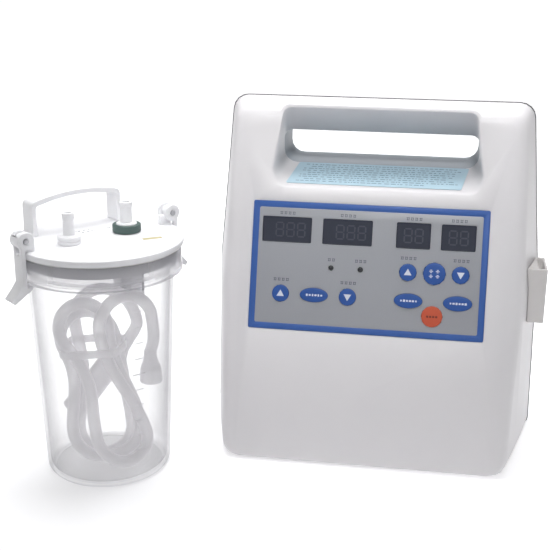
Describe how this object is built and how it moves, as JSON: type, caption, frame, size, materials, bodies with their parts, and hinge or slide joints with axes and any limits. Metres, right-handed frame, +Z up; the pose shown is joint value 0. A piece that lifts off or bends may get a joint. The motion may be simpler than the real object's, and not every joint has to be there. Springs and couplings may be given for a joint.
{
  "type": "suction pump",
  "caption": "Portable hospital suction pump with a leaning key panel and a carrying hole, and its clear lidded collection jar standing beside it with stowed tubing.",
  "frame": {"origin": "on the floor, under the middle of the bounding box of pump unit and jar together", "axes": "+X to the right seen from the front, along both housing and jar, +Y from front to rear, +Z up"},
  "size_m": [0.4472, 0.2804, 0.3117],
  "materials": {
    "white_abs": "fine satin",
    "grey_abs": "fine texture",
    "rail_abs": "satin",
    "blue_border": "satin print",
    "grey_field": "satin print",
    "dark_window": "smoked gloss",
    "lamp_lens": "dark lens",
    "blue_key": "satin",
    "red_key": "satin",
    "pale_blue_label": "printed film",
    "black_rubber": "matte",
    "zinc_steel": "zinc plated",
    "motor_can": "satin",
    "cast_aluminium": "as cast",
    "circuit_board": "solder mask",
    "black_plastic": "satin",
    "clear_pc": "clear, glossy",
    "white_pp": "satin",
    "pale_seal": "matte",
    "green_rubber": "matte",
    "clear_silicone": "translucent"
  },
  "bodies": {
    "pump": {"front_housing": "white_abs", "seam_trim": "grey_abs", "rear_housing": "grey_abs", "foot_front_left": "black_rubber", "foot_front_right": "black_rubber", "foot_rear_left": "black_rubber", "foot_rear_right": "black_rubber", "housing_screw_lower_left": "zinc_steel", "housing_screw_lower_right": "zinc_steel", "housing_screw_upper_left": "zinc_steel", "housing_screw_upper_right": "zinc_steel", "instruction_label": "pale_blue_label", "panel_frame": "blue_border", "panel_plate": "grey_field", "display_window_pressure": "dark_window", "display_window_setpoint": "dark_window", "display_window_run_time": "dark_window", "display_window_rest_time": "dark_window", "indicator_lamp_low": "lamp_lens", "indicator_lamp_fault": "lamp_lens", "display_board": "circuit_board", "jar_rail": "rail_abs", "drive_cradle": "zinc_steel", "vacuum_motor": "motor_can", "crank_case": "cast_aluminium", "pump_diaphragm": "black_rubber", "pump_head": "cast_aluminium", "power_supply": "circuit_board", "control_board": "circuit_board", "vacuum_port": "white_pp", "mains_inlet": "black_plastic", "internal_hose": "clear_silicone"},
    "jar": {"jar_vessel": "clear_pc", "tubing_hank": "clear_silicone", "tubing_tail": "clear_silicone", "end_connector": "clear_silicone", "cuff_connector": "clear_silicone"},
    "lid": {"jar_lid": "white_pp", "lid_seal": "pale_seal", "carry_handle": "white_pp", "suction_nozzle": "white_pp", "vacuum_nozzle": "white_pp", "port_ring": "green_rubber", "float_cage": "white_pp", "latch_pin_left": "zinc_steel", "latch_pin_right": "zinc_steel"},
    "latch_left": {"latch_left": "white_pp"},
    "latch_right": {"latch_right": "white_pp"},
    "float_ball": {"float_ball": "white_pp"},
    "power_rocker": {"power_rocker": "black_plastic"},
    "motor_crank": {"motor_crank": "zinc_steel"},
    "key_pressure_up": {"key_pressure_up": "blue_key"},
    "key_unit": {"key_unit": "blue_key"},
    "key_pressure_down": {"key_pressure_down": "blue_key"},
    "key_time_up": {"key_time_up": "blue_key"},
    "key_time_set": {"key_time_set": "blue_key"},
    "key_time_down": {"key_time_down": "blue_key"},
    "key_continuous": {"key_continuous": "blue_key"},
    "key_interval": {"key_interval": "blue_key"},
    "key_start": {"key_start": "red_key"}
  },
  "joints": [
    {"name": "jar_lift", "type": "slide", "parent": "pump", "child": "jar", "axis": [0, 0, 1], "range_m": [0, 0.3]},
    {"name": "lid_lift", "type": "slide", "parent": "jar", "child": "lid", "axis": [0, 0, 1], "range_m": [0, 0.04]},
    {"name": "latch_right_turn", "type": "hinge", "parent": "lid", "child": "latch_right", "pos_m": [-0.10747, -0.01532, 0.219], "axis": [0.766, -0.6428, 0], "range_deg": [0, 131]},
    {"name": "latch_left_turn", "type": "hinge", "parent": "lid", "child": "latch_left", "pos_m": [-0.19823, -0.12348, 0.219], "axis": [-0.766, 0.6428, 0], "range_deg": [0, 131]},
    {"name": "float_rise", "type": "slide", "parent": "lid", "child": "float_ball", "axis": [0, 0, 1], "range_m": [0, 0.0245]},
    {"name": "rocker_tilt", "type": "hinge", "parent": "pump", "child": "power_rocker", "pos_m": [0.15865, 0.1212, 0.084], "axis": [1, 0, 0], "range_deg": [-16, 0]},
    {"name": "crank_spin", "type": "hinge", "parent": "pump", "child": "motor_crank", "pos_m": [0.13065, 0.0242, 0.045], "axis": [1, 0, 0], "continuous": true},
    {"name": "key_pressure_up_press", "type": "slide", "parent": "pump", "child": "key_pressure_up", "axis": [0, 0.9593, -0.2823], "range_m": [0, 0.0008], "stiffness_N_per_m": 600},
    {"name": "key_unit_press", "type": "slide", "parent": "pump", "child": "key_unit", "axis": [0, 0.9593, -0.2823], "range_m": [0, 0.0008], "stiffness_N_per_m": 600},
    {"name": "key_pressure_down_press", "type": "slide", "parent": "pump", "child": "key_pressure_down", "axis": [0, 0.9593, -0.2823], "range_m": [0, 0.0008], "stiffness_N_per_m": 600},
    {"name": "key_time_up_press", "type": "slide", "parent": "pump", "child": "key_time_up", "axis": [0, 0.9593, -0.2823], "range_m": [0, 0.0008], "stiffness_N_per_m": 600},
    {"name": "key_time_set_press", "type": "slide", "parent": "pump", "child": "key_time_set", "axis": [0, 0.9593, -0.2823], "range_m": [0, 0.0008], "stiffness_N_per_m": 600},
    {"name": "key_time_down_press", "type": "slide", "parent": "pump", "child": "key_time_down", "axis": [0, 0.9593, -0.2823], "range_m": [0, 0.0008], "stiffness_N_per_m": 600},
    {"name": "key_continuous_press", "type": "slide", "parent": "pump", "child": "key_continuous", "axis": [0, 0.9593, -0.2823], "range_m": [0, 0.0008], "stiffness_N_per_m": 600},
    {"name": "key_interval_press", "type": "slide", "parent": "pump", "child": "key_interval", "axis": [0, 0.9593, -0.2823], "range_m": [0, 0.0008], "stiffness_N_per_m": 600},
    {"name": "key_start_press", "type": "slide", "parent": "pump", "child": "key_start", "axis": [0, 0.9593, -0.2823], "range_m": [0, 0.0008], "stiffness_N_per_m": 600}
  ],
  "couplings": [
    {"joint": "latch_right_turn", "follows": "lid_lift", "rad_per_m": 56.723},
    {"joint": "latch_left_turn", "follows": "lid_lift", "rad_per_m": 56.723}
  ]
}
